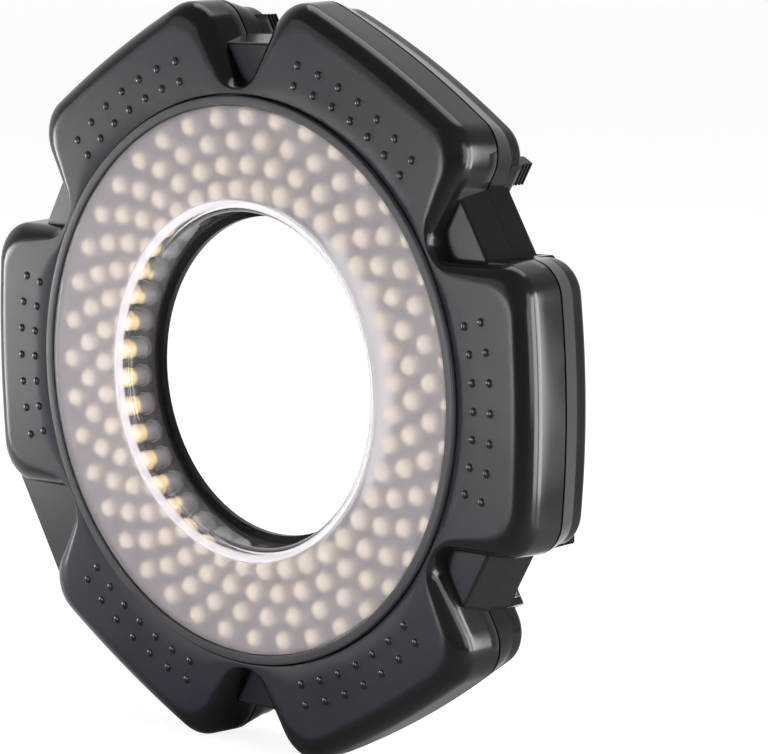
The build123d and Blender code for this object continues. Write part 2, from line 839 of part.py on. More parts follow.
# Housing screws: cross-recessed, sunk in the rear face of each notch web
screw_seat = rear_face - screw_head_height
with BuildPart() as case_screws:
    with BuildSketch(across(rear_face)):
        with PolarLocations(screw_circle, lobes, start_angle=pitch_angle / 2):
            Circle(screw_head)
    extrude(amount=screw_head_height)
    with BuildSketch(across(screw_seat)):
        with PolarLocations(screw_circle, lobes, start_angle=pitch_angle / 2):
            Circle(screw_radius)
    extrude(amount=screw_reach)
    with BuildSketch(across(rear_face)):
        with PolarLocations(screw_circle, lobes, start_angle=pitch_angle / 2):
            Rectangle(2 * (screw_head - recess_width), recess_width)
            Rectangle(recess_width, 2 * (screw_head - recess_width))
    extrude(amount=recess_depth, mode=Mode.SUBTRACT)
write(case_screws.part, "case_screws")
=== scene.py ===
"""Looks of a macro LED ring light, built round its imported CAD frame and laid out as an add-on."""

import math

import bmesh
import bpy
import numpy as np
from bpy.props import (
    FloatProperty,
    FloatVectorProperty,
    IntProperty,
    PointerProperty,
)
from mathutils import Matrix, Vector


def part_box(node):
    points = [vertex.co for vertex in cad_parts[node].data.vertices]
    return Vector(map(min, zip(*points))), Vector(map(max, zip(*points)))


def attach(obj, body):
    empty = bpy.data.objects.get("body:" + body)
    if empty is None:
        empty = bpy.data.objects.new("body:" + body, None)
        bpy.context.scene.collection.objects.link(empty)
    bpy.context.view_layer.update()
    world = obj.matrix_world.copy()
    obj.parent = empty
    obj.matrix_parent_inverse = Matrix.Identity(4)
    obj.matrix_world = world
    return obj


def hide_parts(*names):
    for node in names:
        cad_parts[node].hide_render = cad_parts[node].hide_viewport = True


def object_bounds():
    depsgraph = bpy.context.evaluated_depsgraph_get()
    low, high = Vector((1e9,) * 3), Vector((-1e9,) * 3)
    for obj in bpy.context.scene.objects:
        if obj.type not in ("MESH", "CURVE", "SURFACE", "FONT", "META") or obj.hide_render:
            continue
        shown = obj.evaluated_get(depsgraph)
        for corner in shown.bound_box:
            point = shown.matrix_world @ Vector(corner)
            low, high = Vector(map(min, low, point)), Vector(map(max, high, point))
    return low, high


bl_info = {
    "name": "Macro ring light",
    "version": (1, 0, 0),
    "blender": (4, 5, 0),
    "location": "View3D > Sidebar > Ring Light",
    "description": "Builds the shells, diffuser, lamps and stage of a macro LED ring light",
    "category": "Object",
}

MM = 0.001
LOBES = 6
PITCH = math.radians(360 / LOBES)

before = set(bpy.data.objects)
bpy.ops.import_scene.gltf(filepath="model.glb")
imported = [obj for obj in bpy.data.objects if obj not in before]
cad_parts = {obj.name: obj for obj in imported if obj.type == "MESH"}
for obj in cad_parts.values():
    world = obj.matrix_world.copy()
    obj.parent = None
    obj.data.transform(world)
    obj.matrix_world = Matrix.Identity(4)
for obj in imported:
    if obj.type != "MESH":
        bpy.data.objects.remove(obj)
cad_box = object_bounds()

# Depths that several pieces share: the lobes' faces, the seat of bezel and diffuser, the notches' floor
FACE_Y = -18.9 * MM
SEAT_Y = FACE_Y + 2.4 * MM
NOTCH_FLOOR_Y = FACE_Y + 4.8 * MM
PARTING_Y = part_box("front_shell")[1].y
LAMP_BASE_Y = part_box("led_board")[0].y

# Steps round a turned ring, and the notch with the wide web, counted from the one at 30 degrees
RING_STEPS = 360
WIDE_NOTCH = 3

# Copied mouldings: how near doubles lie, the degrees under which faces are one flat part, the sharpest
# smooth edge in degrees, and the rounding of the sharper ones
DOUBLES = 0.001 * MM
FLAT_ANGLE = 0.5
SMOOTH_ANGLE = 30
EASED_EDGE = 0.15 * MM

# Way to the white backdrop, and the cosines to it between which a mirrored ray turns white
BACKDROP = (-0.672, 0.733, -0.1)
BACKDROP_EDGE = (0.15, 0.5)

# Floor: half its side, how far it lies under the light, and the white it adds where it is seen
FLOOR_REACH = 30.0
FLOOR_GAP = 0.2 * MM
FLOOR_WHITE = 0.86

# Strength of the light that comes from all sides
AMBIENT = 0.3


def new_object(name, verts, faces, material, smooth_angle=None):
    """A mesh object at the origin, with every face smooth, or sharp past an angle in degrees."""
    mesh = bpy.data.meshes.new(name)
    mesh.from_pydata(verts.tolist(), [], faces)
    mesh.update()
    mesh.polygons.foreach_set("use_smooth", np.ones(len(mesh.polygons), bool))
    if smooth_angle is not None:
        mesh.set_sharp_from_angle(angle=math.radians(smooth_angle))
    obj = bpy.data.objects.new(name, mesh)
    bpy.context.scene.collection.objects.link(obj)
    mesh.materials.append(material)
    return obj


def grid_faces(rows, columns, start=0, wrap_rows=True, flip=False):
    """Quads between neighbours of a rows by columns grid, closed along its columns and, if asked, its rows."""
    last_row = rows if wrap_rows else rows - 1
    i, j = np.meshgrid(np.arange(last_row), np.arange(columns), indexing="ij")
    next_i, next_j = (i + 1) % rows, (j + 1) % columns
    quads = np.stack(
        [i * columns + j, next_i * columns + j, next_i * columns + next_j, i * columns + next_j], axis=-1
    ).reshape(-1, 4)
    if flip:
        quads = quads[:, ::-1]
    return (quads + start).tolist()


def arc(centre, radius, start, end, count):
    """Points centre + radius (cos a, sin a) for a from start to end degrees."""
    angle = np.radians(np.linspace(start, end, count))
    return np.column_stack([centre[0] + radius * np.cos(angle), centre[1] + radius * np.sin(angle)])


def turned_profile(profile, steps):
    """Profile rows (radius r, height y) turned about Y: x = r cos a, z = r sin a at every step a."""
    angle = np.linspace(0, 2 * np.pi, steps, endpoint=False)
    radius, height = profile[:, :1], profile[:, 1:]
    turned = [radius * np.cos(angle), np.broadcast_to(height, (len(profile), steps)), radius * np.sin(angle)]
    return np.stack(turned, axis=-1).reshape(-1, 3)


def domes(profile, tip, sides, places):
    """A closed dome at every place: rows (radius, rise) turned about its own axis, a fan to the tip, a flat foot."""
    dome = np.vstack([turned_profile(profile * [1, -1], sides), [[0, -tip, 0]]])
    verts, faces = [], []
    for number, place in enumerate(places):
        start = number * len(dome)
        last_ring = start + (len(profile) - 1) * sides
        top = start + len(dome) - 1
        verts.append(dome + place)
        faces += grid_faces(len(profile), sides, start, wrap_rows=False, flip=True)
        faces += [[top, last_ring + i, last_ring + (i + 1) % sides] for i in range(sides)]
        faces.append([start + i for i in reversed(range(sides))])
    return np.vstack(verts), faces


def merged_copy(node, name, material):
    """Copy of a CAD node's mesh with its doubles merged, its flat parts joined and its edges eased."""
    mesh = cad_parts[node].data.copy()
    mesh.name = name
    obj = bpy.data.objects.new(name, mesh)
    bpy.context.scene.collection.objects.link(obj)
    work = bmesh.new()
    work.from_mesh(mesh)
    bmesh.ops.remove_doubles(work, verts=work.verts, dist=DOUBLES)
    bmesh.ops.dissolve_limit(work, angle_limit=math.radians(FLAT_ANGLE), verts=work.verts, edges=work.edges)
    work.to_mesh(mesh)
    work.free()
    if mesh.has_custom_normals:
        mesh.attributes.remove(mesh.attributes["custom_normal"])
    mesh.polygons.foreach_set("use_smooth", np.ones(len(mesh.polygons), bool))
    mesh.set_sharp_from_angle(angle=math.radians(SMOOTH_ANGLE))
    mesh.materials.clear()
    mesh.materials.append(material)
    edge = obj.modifiers.new("eased edges", "BEVEL")
    edge.width = EASED_EDGE
    edge.segments = 2
    edge.limit_method = "ANGLE"
    edge.angle_limit = math.radians(SMOOTH_ANGLE)
    edge.harden_normals = True
    return obj


def lobed_outline(flat, half, flare, corner, notch, crown, station):
    """One closed outline as rows (X, Z), the same count of points for every size.

    Half a lobe runs along its bowed end, a circle of radius (t*t + crown*crown) / (2 crown) through
    the tips, round a corner fillet, down the straight flank, and round half the notch's circle. Each
    fillet's centre is its radius inside both of its neighbours. The half is mirrored, then turned.
    """
    flare = math.radians(flare)
    tip_x = flat - crown
    tip_t = half - (tip_x - station) * math.tan(flare)
    bow = (tip_t**2 + crown**2) / (2 * crown)
    bow_centre = np.array([flat - bow, 0.0])
    normal = np.array([math.sin(flare), math.cos(flare)])
    along = np.array([math.cos(flare), -math.sin(flare)])
    offset = station * normal[0] + half * normal[1]
    foot = normal * (offset - corner) - bow_centre
    reach = -foot @ along + math.sqrt((foot @ along) ** 2 - foot @ foot + (bow - corner) ** 2)
    centre = normal * (offset - corner) + along * reach
    touch_flank = centre + normal * corner
    bow_end = math.atan2(*(centre - bow_centre)[::-1])
    end_arc = arc(bow_centre, bow, 0, math.degrees(bow_end), 25)
    corner_arc = arc(centre, corner, math.degrees(bow_end), 90 - math.degrees(flare), 25)[1:]
    half_pitch = PITCH / 2
    root_x = (half + station * math.tan(flare)) / (math.tan(half_pitch) + math.tan(flare))
    root = root_x / math.cos(half_pitch)
    bend = 1 / math.sin(half_pitch + flare)
    notch_radius = (notch - root) / (bend - 1)
    notch_centre = (notch + notch_radius) * np.array([math.cos(half_pitch), math.sin(half_pitch)])
    touch_notch = notch_centre - normal * notch_radius
    flank = np.linspace(touch_flank, touch_notch, 14)[1:]
    first = math.degrees(math.atan2(-normal[1], -normal[0]))
    notch_arc = arc(notch_centre, notch_radius, first, math.degrees(half_pitch) - 180, 25)[1:]
    upper = np.vstack([end_arc, corner_arc, flank, notch_arc])
    lower = upper[1:-1][::-1] * [1, -1]
    lobe = np.vstack([lower, upper])
    turns = PITCH * np.arange(LOBES)
    cos, sin = np.cos(turns)[:, None], np.sin(turns)[:, None]
    x = lobe[:, 0] * cos - lobe[:, 1] * sin
    z = lobe[:, 0] * sin + lobe[:, 1] * cos
    return np.column_stack([x.ravel(), z.ravel()])


def length(name, description, millimetres):
    """A length property whose default is given in millimetres."""
    return FloatProperty(name=name, description=description, default=millimetres * MM, unit="LENGTH", precision=5)


def degrees(name, description, value):
    """An angle property whose default is given in degrees."""
    return FloatProperty(name=name, description=description, default=math.radians(value), subtype="ANGLE")


def colour(name, description, red, green, blue):
    """A colour property, in linear values."""
    return FloatVectorProperty(
        name=name, description=description, default=(red, green, blue), size=3, min=0, max=1, subtype="COLOR"
    )


class ShellSettings(bpy.types.PropertyGroup):
    """Sizes and colours of the two shells, the doors and the bezel"""

    face_flat: length("Face flat", "From the axis to the edge of a lobe's face", 80.5)
    face_half: length("Face half width", "Half a lobe's face, at the width station", 26.8)
    station: length("Width station", "Where a lobe's width is measured", 73.0)
    crown: length("Crown", "Bow of a lobe's outer edge, at its face", 1.0)
    joint_crown: length("Joint crown", "Bow of a lobe's outer edge, at the joint", 2.2)
    roll_rise: length("Roll rise", "Outwards, from the face's edge to the wall", 5.2)
    roll_depth: length("Roll depth", "Rearwards, from the face to the wall", 4.5)
    roll_half: length("Wall half width", "Half a lobe at the foot of the roll-over", 31.9)
    parting_flat: length("Joint flat", "From the axis to a lobe's wall at the joint", 85.9)
    parting_half: length("Joint half width", "Half a lobe at the joint", 32.2)
    web: length("Web", "From the axis to the front edge of a notch's straight wall", 77.0)
    wide_web: length("Wide web", "The same at the lower left notch, which is filled", 87.0)
    pip_radius: length("Pip radius", "Foot of a grip pip", 1.0)
    pip_height: length("Pip height", "Rise of a grip pip", 0.45)
    face_colour: colour("Face", "Satin textured plastic", 0.0085, 0.0062, 0.0145)
    wall_colour: colour("Wall", "Glossy black plastic", 0.005, 0.0047, 0.005)
    bezel_colour: colour("Bezel", "Grey plastic ring", 0.03, 0.029, 0.033)


class DiffuserSettings(bpy.types.PropertyGroup):
    """Sizes and colours of the diffuser"""

    outer: length("Outer radius", "Rim under the bezel", 64.3)
    tube: length("Tube radius", "Bore of the clear tube", 38.7)
    wall: length("Tube wall", "Thickness of the tube", 1.5)
    plate: length("Plate", "Thickness of the front plate", 1.8)
    proud: length("Proud", "Rise of the plate above the lobes' faces", 0.4)
    rounding: length("Rounding", "Radius from the plate into the tube", 3.6)
    haze: colour("Haze", "Scattered light in the frosted plate", 0.47, 0.435, 0.465)
    # Painted highlight: the white of the rounding where it catches the light, painted into the haze's colour there
    edge: colour("Edge", "Denser white along the rounding", 0.76, 0.725, 0.77)
    roughness: FloatProperty(
        name="Frosting", description="Roughness of the plate", default=0.28, min=0, max=1, subtype="FACTOR"
    )


class LampSettings(bpy.types.PropertyGroup):
    """Sizes, count and colours of the lamps"""

    radius: length("Radius", "Body of a lamp", 2.5)
    flange: length("Flange", "Radius of the foot", 2.9)
    height: length("Height", "Foot to tip", 8.6)
    per_row: IntProperty(name="Lamps in a circle", description="Evenly spaced", default=40, min=8, max=60)
    resin: colour("Resin", "Clear resin over the cup", 1.0, 0.83, 0.58)
    phosphor: colour("Phosphor", "Yellow phosphor in the cup", 0.85, 0.6, 0.2)


class StageSettings(bpy.types.PropertyGroup):
    """Camera, lights and floor"""

    azimuth: degrees("Azimuth", "Towards +X from the front", 42.456)
    elevation: degrees("Elevation", "Above the axis", 8.201)
    roll: degrees("Roll", "About the line of sight", -0.518)
    distance: length("Distance", "From the middle of the front face", 739.62)
    slide: length("Slide", "Camera moved to its right", 32.8)
    lift: length("Lift", "Camera moved up", 1.164)
    lens: FloatProperty(name="Lens", description="Focal length for a 36 mm frame", default=152.04, unit="CAMERA")


class Nodes:
    """A node tree, with short calls to add and join its nodes."""

    def __init__(self, tree):
        self.tree = tree

    def add(self, kind, inputs=None, **settings):
        """A node of a kind, its settings written and its sockets filled or joined."""
        node = self.tree.nodes.new(kind)
        for key, value in settings.items():
            setattr(node, key, value)
        for key, value in (inputs or {}).items():
            self.fill(node.inputs[key], value)
        return node

    def fill(self, socket, value):
        """Joins an output to a socket, or writes a number or colour on it."""
        if isinstance(value, bpy.types.NodeSocket):
            self.tree.links.new(value, socket)
        elif socket.type == "RGBA" and len(value) == 3:
            socket.default_value = (*value, 1)
        else:
            socket.default_value = value

    def math(self, operation, first, second):
        """Result of a math node on two values."""
        return self.add("ShaderNodeMath", {0: first, 1: second}, operation=operation).outputs[0]

    def range(self, value, low, high, to_low=0.0, to_high=1.0):
        """A value's range carried to another, clamped."""
        return self.add(
            "ShaderNodeMapRange",
            {"Value": value, "From Min": low, "From Max": high, "To Min": to_low, "To Max": to_high},
        ).outputs["Result"]

    def mix(self, share, first, second):
        """Colours mixed by a share."""
        return self.add("ShaderNodeMix", {0: share, 6: first, 7: second}, data_type="RGBA").outputs[2]

    def blend(self, share, first, second):
        """Two shaders mixed by a share."""
        return self.add("ShaderNodeMixShader", {0: share, 1: first, 2: second}).outputs[0]


class Shader(Nodes):
    """A material's nodes round its main shader, with patterns on the object's own coordinates."""

    def __init__(self, name):
        self.material = bpy.data.materials.new(name)
        self.material.use_nodes = True
        super().__init__(self.material.node_tree)
        self.surface = self.tree.nodes["Principled BSDF"]
        self.output = self.tree.nodes["Material Output"]
        self.place = self.add("ShaderNodeTexCoord").outputs["Object"]

    def set(self, **values):
        """Fills the main shader's sockets, whose spaces are written as underscores."""
        for key, value in values.items():
            self.fill(self.surface.inputs[key.replace("_", " ")], value)

    def noise(self, scale, detail, rough=0.5):
        """Fractal noise over the object, as a height from 0 to 1."""
        return self.add(
            "ShaderNodeTexNoise", {"Vector": self.place, "Scale": scale, "Detail": detail, "Roughness": rough}
        ).outputs["Fac"]

    def clouds(self, base, scale):
        """A base colour, 0.88 to 1.12 times as light over soft clouds."""
        return self.mix(self.noise(scale, 3.0), tuple(c * 0.88 for c in base), tuple(c * 1.12 for c in base))

    def uneven(self, scale, detail, low, high):
        """A value that drifts from low to high over the piece, over the noise's middle range."""
        return self.range(self.noise(scale, detail), 0.3, 0.7, low, high)

    def bump(self, height, distance, strength):
        """Normal of a height, in metres of relief."""
        return self.add(
            "ShaderNodeBump", {"Height": height, "Distance": distance, "Strength": strength}
        ).outputs["Normal"]

    def attribute(self, name):
        """A float attribute of the mesh."""
        return self.add("ShaderNodeAttribute", attribute_name=name).outputs["Fac"]


def shell_plastic(settings):
    """Black moulded plastic: fine satin grain where the mesh's satin value is 1, glossy where it is 0."""
    shader = Shader("shell plastic")
    satin = shader.attribute("satin")
    gloss = shader.uneven(60, 4.0, 0.13, 0.2)
    grain = shader.math("MULTIPLY", shader.noise(2600, 3.0, 0.6), satin)
    shader.set(
        Base_Color=shader.mix(satin, tuple(settings.wall_colour), shader.clouds(settings.face_colour, 45)),
        Roughness=shader.math("ADD", gloss, shader.math("MULTIPLY", satin, 0.2)),
        Normal=shader.bump(grain, 0.00006, 0.45),
        IOR=1.5,
        Specular_IOR_Level=0.3,
    )
    return shader.material


def plain_plastic(name, base, roughness, grain=0.00002, gloss=0.3):
    """Moulded plastic with slight clouding of colour and gloss and a fine grain."""
    shader = Shader(name)
    shader.set(
        Base_Color=shader.clouds(base, 50),
        Roughness=shader.uneven(70, 4.0, roughness * 0.85, roughness * 1.15),
        Normal=shader.bump(shader.noise(2200, 3.0), grain, 0.4),
        Specular_IOR_Level=gloss,
    )
    return shader.material


def metal(name, base, roughness):
    """Plated or turned metal with fine uneven polish."""
    shader = Shader(name)
    polish = shader.uneven(900, 3.0, roughness * 0.7, roughness * 1.3)
    shader.set(Base_Color=base, Metallic=1.0, Roughness=polish)
    return shader.material


def frosted_acrylic(settings):
    """Clear acrylic, frosted by the mesh's frost value: rough refraction mixed with a pale haze, and a painted
    highlight of whiter haze along the rounding.
    """
    shader = Shader("frosted acrylic")
    frost = shader.attribute("frost")
    mottle = shader.noise(90, 2.0)
    rough = shader.range(frost, 0.0, 1.0, 0.04, settings.roughness)
    shader.set(
        Base_Color=(0.97, 0.96, 0.98),
        Roughness=rough,
        IOR=1.3,
        Transmission_Weight=1.0,
        Normal=shader.bump(shader.math("MULTIPLY", shader.noise(1800, 2.0), frost), 0.00002, 0.3),
    )
    # Painted highlight along the rounding: there the haze takes the edge's white and covers most of the surface
    painted_highlight = shader.attribute("painted_highlight")
    cloud = shader.mix(mottle, tuple(c * 0.95 for c in settings.haze), tuple(settings.haze))
    haze = shader.add("ShaderNodeBsdfDiffuse", {"Color": shader.mix(painted_highlight, cloud, tuple(settings.edge))})
    clouded = shader.range(frost, 0.0, 1.0, 0.04, 0.37)
    share = shader.math("MAXIMUM", clouded, shader.math("MULTIPLY", painted_highlight, 0.78))
    frosted = shader.blend(share, shader.surface.outputs[0], haze.outputs[0])
    shader.fill(shader.output.inputs["Surface"], frosted)
    return shader.material


def lamp_resin(settings):
    """Resin lamp: dark foot, yellow phosphor cup and a creamy dome, by height above the board, with a painted glow
    strongest at the dome's tip.
    """
    shader = Shader("lamp resin")
    height = shader.attribute("height")
    ramp = shader.add("ShaderNodeValToRGB", {"Fac": height})
    stops = [
        (0.0, (0.1, 0.095, 0.095)),
        (0.12, (0.2, 0.185, 0.18)),
        (0.5, (0.22, 0.195, 0.185)),
        (0.6, tuple(settings.phosphor)),
        (0.74, (0.72, 0.58, 0.36)),
        (0.88, tuple(settings.resin)),
    ]
    elements = ramp.color_ramp.elements
    while len(elements) < len(stops):
        elements.new(0.5)
    for element, (position, value) in zip(elements, stops):
        element.position = position
        element.color = (*value, 1)
    shader.set(
        Base_Color=ramp.outputs["Color"],
        Roughness=0.12,
        Coat_Weight=1.0,
        Coat_Roughness=0.03,
        # Painted glow: the lamp emits its own colour, faintly low down and most at the dome's tip, in place of the
        # studio light that reaches it through the diffuser
        Emission_Color=ramp.outputs["Color"],
        Emission_Strength=shader.range(height, 0.78, 0.97, 0.06, 0.72),
    )
    return shader.material


def seen_directly(nodes):
    """1 for camera rays and for those that a surface mirrors or lets through, 0 for scattered light."""
    paths = nodes.add("ShaderNodeLightPath").outputs
    seen = nodes.math("MAXIMUM", paths["Is Camera Ray"], paths["Is Glossy Ray"])
    return nodes.math("MAXIMUM", seen, paths["Is Transmission Ray"])


def studio_white(nodes, way):
    """The backdrop's share of white along a way.

    It is 1 for camera rays and for those let through, and 0 for scattered light. For mirrored rays it
    rises from 0 to 1 with the cosine between their way and the backdrop's.
    """
    paths = nodes.add("ShaderNodeLightPath").outputs
    cosine = nodes.add("ShaderNodeVectorMath", {0: way, 1: BACKDROP}, operation="DOT_PRODUCT").outputs["Value"]
    white = nodes.math("MULTIPLY", nodes.range(cosine, *BACKDROP_EDGE), paths["Is Glossy Ray"])
    white = nodes.math("MAXIMUM", white, paths["Is Transmission Ray"])
    return nodes.math("MAXIMUM", white, paths["Is Camera Ray"])


def floor_paper():
    """White paper floor: its own white is added where it is seen, and its grey takes the shadow."""
    shader = Shader("floor paper")
    seen = seen_directly(shader)
    way = shader.add("ShaderNodeVectorMath", {0: shader.place}, operation="NORMALIZE").outputs["Vector"]
    grain = shader.noise(8, 2.0)
    scattered = shader.mix(grain, (0.78, 0.78, 0.78), (0.82, 0.82, 0.82))
    shader.set(
        Base_Color=shader.mix(seen, scattered, (0.3, 0.3, 0.3)),
        Roughness=0.9,
        Specular_IOR_Level=0.1,
        Emission_Color=(1, 1, 1),
        Emission_Strength=shader.math("MULTIPLY", studio_white(shader, way), FLOOR_WHITE),
    )
    return shader.material


def paint(obj, name, values):
    """Writes one float for each vertex into a named attribute."""
    layer = obj.data.attributes.new(name, "FLOAT", "POINT")
    layer.data.foreach_set("value", np.asarray(values, np.float32))


def prism(profile, half_width, angle):
    """Profile rows (x, y), carried from t = -half_width to half_width, then turned by an angle."""
    count = len(profile)
    t = np.repeat([-half_width, half_width], count)
    x, y = np.tile(profile[:, 0], 2), np.tile(profile[:, 1], 2)
    cos, sin = math.cos(angle), math.sin(angle)
    return np.column_stack([x * cos - t * sin, y, x * sin + t * cos])


def block_faces(count, start=0):
    """Faces of a prism: quads between the two ends' outlines, and the two ends."""
    first = list(range(start, start + count))
    return grid_faces(2, count, start, wrap_rows=False, flip=True) + [first, [i + count for i in reversed(first)]]


def shell_rings(s):
    """The front shell's closed section as four lists of rings, each an outline with its depth.

    They are the chamber and the bezel's seat, the face, the roll-over and the walls. Where the roll-over
    has turned by an angle a, from 0 to 90 degrees, its outline's sizes are a share sin a of the way from
    the face's to the wall's, and it lies roll_depth (1 - cos a) behind the face. The walls run straight
    from its foot to the joint's outline.
    """
    seat_radius, chamber = 65.6 * MM, 63.2 * MM
    flare, face_corner, wall_corner = 9.0, 8.6 * MM, 9.0 * MM
    face_notch, wall_notch, wall_crown = 66.4 * MM, 67.6 * MM, 1.8 * MM
    seat_round, round_middle = 0.25 * MM, 0.07 * MM

    def section(turn):
        """Outline and depth where the roll-over has turned by an angle in degrees."""
        share = math.sin(math.radians(turn))
        outline = lobed_outline(
            s.face_flat + s.roll_rise * share,
            s.face_half + (s.roll_half - s.face_half) * share,
            flare * (1 - share),
            face_corner + (wall_corner - face_corner) * share,
            face_notch + (wall_notch - face_notch) * share,
            s.crown + (wall_crown - s.crown) * share,
            s.station,
        )
        return outline, FACE_Y + s.roll_depth * (1 - math.cos(math.radians(turn)))

    rolled = [section(turn) for turn in np.linspace(0, 90, 16)]
    joint = lobed_outline(s.parting_flat, s.parting_half, 0, face_corner, wall_notch, s.joint_crown, s.station)
    foot, foot_y = rolled[-1]
    walls = [(foot + (joint - foot) * share, foot_y + (PARTING_Y - foot_y) * share) for share in (0.33, 0.66, 0.98)]
    eased = joint * (1 - EASED_EDGE / np.linalg.norm(joint, axis=1, keepdims=True))
    walls.append((eased, PARTING_Y))
    rim = rolled[0][0]
    bearing = rim / np.linalg.norm(rim, axis=1, keepdims=True)
    inner = [(bearing * chamber, PARTING_Y), (bearing * chamber, SEAT_Y), (bearing * seat_radius, SEAT_Y)]
    face = [
        (bearing * seat_radius, FACE_Y + seat_round),
        (bearing * (seat_radius + round_middle), FACE_Y + round_middle),
        (bearing * (seat_radius + seat_round), FACE_Y),
    ]
    face += [(face[-1][0] + (rim - face[-1][0]) * share, FACE_Y) for share in (0.3, 0.7, 0.97)]
    return inner, face, rolled, walls


def notch_web(s, k):
    """Front part of a notch's web: its section, with an eased front edge, and the prism made of it."""
    inner, edge = 60.0 * MM, 0.9 * MM
    front, widening, half = (s.wide_web, 0, 17.5 * MM) if k == WIDE_NOTCH else (s.web, 1.6 * MM, 13.5 * MM)
    profile = np.vstack(
        [
            [[inner, NOTCH_FLOOR_Y]],
            arc((front - edge, NOTCH_FLOOR_Y + edge), edge, -90, 0, 7),
            [[front + widening, PARTING_Y], [inner, PARTING_Y]],
        ]
    )
    return profile, prism(profile, half, PITCH * (k + 0.5))


class RINGLIGHT_OT_front_shell(bpy.types.Operator):
    """Builds the front shell: face, roll-over, walls, bezel seat and the straight webs of the notches"""

    bl_idname = "ringlight.front_shell"
    bl_label = "Front Shell"

    def execute(self, context):
        s = context.scene.ringlight_shell
        inner, face, rolled, walls = shell_rings(s)
        rings = inner + face + rolled + walls
        points = len(rings[0][0])
        verts = np.concatenate([np.column_stack([ring[:, 0], np.full(points, y), ring[:, 1]]) for ring, y in rings])
        faces = grid_faces(len(rings), points)
        # Satin grows over the seat's rounding and fades over the roll-over's first turn, and the rest is glossy
        growing, fading = [0.3, 0.7, 1, 1, 1, 1], [1, 0.8, 0.45, 0.15]
        glossy = len(rolled) - len(fading) + len(walls)
        satin = np.repeat([0] * len(inner) + growing + fading + [0] * glossy, points)
        for k in range(LOBES):
            profile, block = notch_web(s, k)
            faces += block_faces(len(profile), len(verts))
            verts = np.vstack([verts, block])
            on_floor = block[:, 1] < NOTCH_FLOOR_Y + 0.1 * MM
            satin = np.concatenate([satin, on_floor.astype(float)])
        obj = new_object("front_shell_moulding", verts, faces, shell_plastic(s), 40)
        paint(obj, "satin", satin)
        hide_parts("front_shell")
        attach(obj, "housing")
        return {"FINISHED"}


class RINGLIGHT_OT_wide_web(bpy.types.Operator):
    """Builds the rear half of the wide web: a straight block behind the joint, short of the doors"""

    bl_idname = "ringlight.wide_web"
    bl_label = "Wide Web"

    def execute(self, context):
        s = context.scene.ringlight_shell
        front, rear, inner = PARTING_Y + 0.45 * MM, FACE_Y + 17.8 * MM, 75.0 * MM
        edge, draft, half = 0.3 * MM, 1.2 * MM, 13.0 * MM
        profile = np.vstack(
            [
                [[inner, front]],
                arc((s.wide_web - edge, front + edge), edge, -90, 0, 4),
                arc((s.wide_web - draft - edge, rear - edge), edge, 0, 90, 4),
                [[inner, rear]],
            ]
        )
        block = prism(profile, half, PITCH * (WIDE_NOTCH + 0.5))
        material = plain_plastic("wide web plastic", tuple(s.wall_colour), 0.18, 0.00001)
        obj = new_object("wide_web_rear", block, block_faces(len(profile)), material, 40)
        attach(obj, "housing")
        return {"FINISHED"}


class RINGLIGHT_OT_pips(bpy.types.Operator):
    """Builds the grip pips: a shallow dome each, whose rise is its height times sqrt(1 - share squared)"""

    bl_idname = "ringlight.pips"
    bl_label = "Grip Pips"

    def execute(self, context):
        s = context.scene.ringlight_shell
        share = np.array([1.0, 0.93, 0.8, 0.6, 0.35])
        profile = np.column_stack([share * s.pip_radius, np.sqrt(1 - share**2) * s.pip_height])
        rows, columns, step = (70.2 * MM, 75.0 * MM), 7, math.radians(5.01)
        angle = (PITCH * np.arange(LOBES)[:, None] + step * (np.arange(columns) - (columns - 1) / 2)).ravel()
        level = np.full(len(angle), FACE_Y)
        places = np.concatenate(
            [np.column_stack([radius * np.cos(angle), level, radius * np.sin(angle)]) for radius in rows]
        )
        verts, faces = domes(profile, s.pip_height, 16, places)
        obj = new_object("grip_pips", verts, faces, shell_plastic(s), 60)
        paint(obj, "satin", np.full(len(verts), 0.35))
        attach(obj, "housing")
        return {"FINISHED"}


class RINGLIGHT_OT_bezel(bpy.types.Operator):
    """Builds the bezel ring, its section turned about the axis"""

    bl_idname = "ringlight.bezel"
    bl_label = "Bezel"

    def execute(self, context):
        s = context.scene.ringlight_shell
        front, edge = FACE_Y - 0.9 * MM, 0.35 * MM
        inner, outer, skirt = 63.0 * MM, 65.2 * MM, 64.4 * MM
        profile = np.vstack(
            [
                arc((inner + edge, front + edge), edge, 180, 270, 6),
                arc((outer - edge, front + edge), edge, 270, 360, 6),
                [[outer, SEAT_Y], [skirt, SEAT_Y], [skirt, FACE_Y], [inner, FACE_Y]],
            ]
        )
        verts = turned_profile(profile, RING_STEPS)
        faces = grid_faces(len(profile), RING_STEPS)
        material = plain_plastic("bezel plastic", tuple(s.bezel_colour), 0.4)
        obj = new_object("bezel_trim", verts, faces, material, 40)
        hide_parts("bezel_ring")
        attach(obj, "housing")
        return {"FINISHED"}


